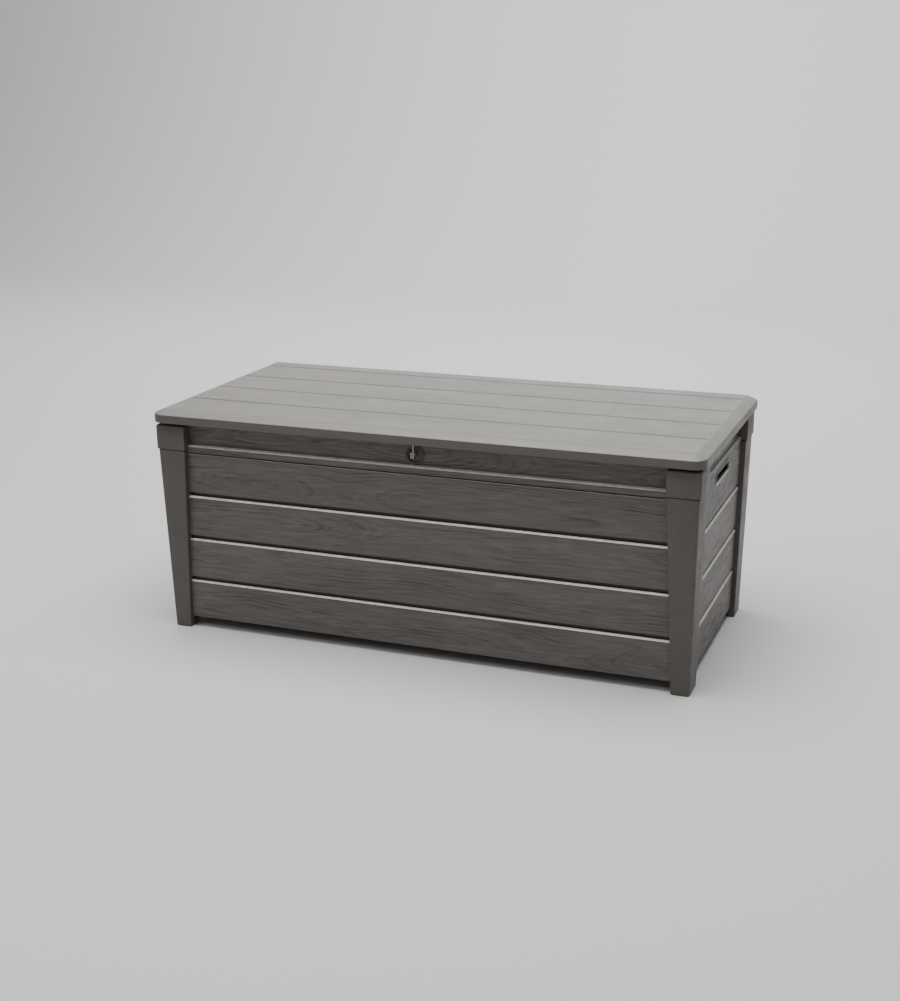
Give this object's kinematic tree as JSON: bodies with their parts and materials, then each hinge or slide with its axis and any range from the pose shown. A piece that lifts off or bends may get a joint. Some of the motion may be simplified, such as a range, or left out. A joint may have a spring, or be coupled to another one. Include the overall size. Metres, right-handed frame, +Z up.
{
  "type": "deck storage box",
  "caption": "Wood-look resin deck storage box on four tapered corner posts, with a planked lift-up lid on gas struts, end hand grips and a padlock tab.",
  "frame": {"origin": "on the ground, under the middle of the box", "axes": "+X along the length, to the right seen from the front; the front faces -Y; +Z up"},
  "size_m": [1.45, 0.697, 0.603],
  "materials": {
    "resin_wood": "moulded wood-grain relief, matt, brown-grey",
    "resin_smooth": "finely textured satin, brown-grey",
    "resin_lid": "satin with a faint grain, brown-grey, weathered lighter on top",
    "resin_inner": "plain moulded satin",
    "resin_lock": "dark moulded satin",
    "zinc_steel": "zinc plated",
    "strut_black": "black powder coat",
    "strut_plastic": "black glass-filled nylon",
    "rod_chrome": "hard chrome, polished",
    "rubber": "matt black rubber"
  },
  "bodies": {
    "box": {"front_panel": "resin_wood", "back_panel": "resin_wood", "left_panel": "resin_wood", "right_panel": "resin_wood", "post_front_left": "resin_smooth", "post_front_right": "resin_smooth", "post_back_left": "resin_smooth", "post_back_right": "resin_smooth", "post_cap_front_left": "resin_smooth", "post_cap_front_right": "resin_smooth", "post_cap_back_left": "resin_smooth", "post_cap_back_right": "resin_smooth", "floor_panel": "resin_inner", "handle_cup_left": "resin_inner", "handle_cup_right": "resin_inner", "lock_dish": "resin_lock", "hinge_box_leaf_left": "resin_lock", "hinge_box_leaf_centre": "resin_lock", "hinge_box_leaf_right": "resin_lock", "lock_staple": "zinc_steel", "hinge_pin_left": "zinc_steel", "hinge_pin_centre": "zinc_steel", "hinge_pin_right": "zinc_steel", "hinge_screws_box": "zinc_steel", "lock_screws": "zinc_steel", "strut_screws_box": "zinc_steel", "strut_box_bracket_left": "zinc_steel", "strut_box_bracket_right": "zinc_steel"},
    "lid": {"lid_shell": "resin_lid", "lid_liner": "resin_inner", "hinge_lid_leaf_left": "resin_lock", "hinge_lid_leaf_centre": "resin_lock", "hinge_lid_leaf_right": "resin_lock", "lid_hasp": "zinc_steel", "lid_bar_front": "zinc_steel", "lid_bar_rear": "zinc_steel", "hinge_screws_lid": "zinc_steel", "hasp_screws": "zinc_steel", "strut_screws_lid": "zinc_steel", "strut_lid_bracket_left": "zinc_steel", "strut_lid_bracket_right": "zinc_steel", "lid_buffers": "rubber"},
    "strut_cylinder_left": {"strut_foot_left": "strut_plastic", "strut_tube_left": "strut_black", "strut_gland_left": "strut_plastic"},
    "strut_rod_left": {"strut_rod_left": "rod_chrome", "strut_piston_left": "rod_chrome", "strut_head_left": "strut_plastic"},
    "strut_cylinder_right": {"strut_foot_right": "strut_plastic", "strut_tube_right": "strut_black", "strut_gland_right": "strut_plastic"},
    "strut_rod_right": {"strut_rod_right": "rod_chrome", "strut_piston_right": "rod_chrome", "strut_head_right": "strut_plastic"}
  },
  "joints": [
    {"name": "lid_hinge", "type": "hinge", "parent": "box", "child": "lid", "pos_m": [0, 0.334, 0.556], "axis": [-1, 0, 0], "range_deg": [0, 87]},
    {"name": "strut_foot_pivot_left", "type": "hinge", "parent": "box", "child": "strut_cylinder_left", "pos_m": [-0.657, 0.23286, 0.30566], "axis": [-1, 0, 0], "range_deg": [0, 43.5]},
    {"name": "strut_head_pivot_left", "type": "hinge", "parent": "lid", "child": "strut_rod_left", "pos_m": [-0.657, 0.064, 0.556], "axis": [-1, 0, 0], "range_deg": [-43.5, 0]},
    {"name": "strut_foot_pivot_right", "type": "hinge", "parent": "box", "child": "strut_cylinder_right", "pos_m": [0.657, 0.23286, 0.30566], "axis": [-1, 0, 0], "range_deg": [0, 43.5]},
    {"name": "strut_head_pivot_right", "type": "hinge", "parent": "lid", "child": "strut_rod_right", "pos_m": [0.657, 0.064, 0.556], "axis": [-1, 0, 0], "range_deg": [-43.5, 0]}
  ],
  "couplings": [
    {"joint": "strut_foot_pivot_left", "follows": "lid_hinge", "ratio": 0.5},
    {"joint": "strut_head_pivot_left", "follows": "lid_hinge", "ratio": -0.5},
    {"joint": "strut_foot_pivot_right", "follows": "lid_hinge", "ratio": 0.5},
    {"joint": "strut_head_pivot_right", "follows": "lid_hinge", "ratio": -0.5}
  ]
}
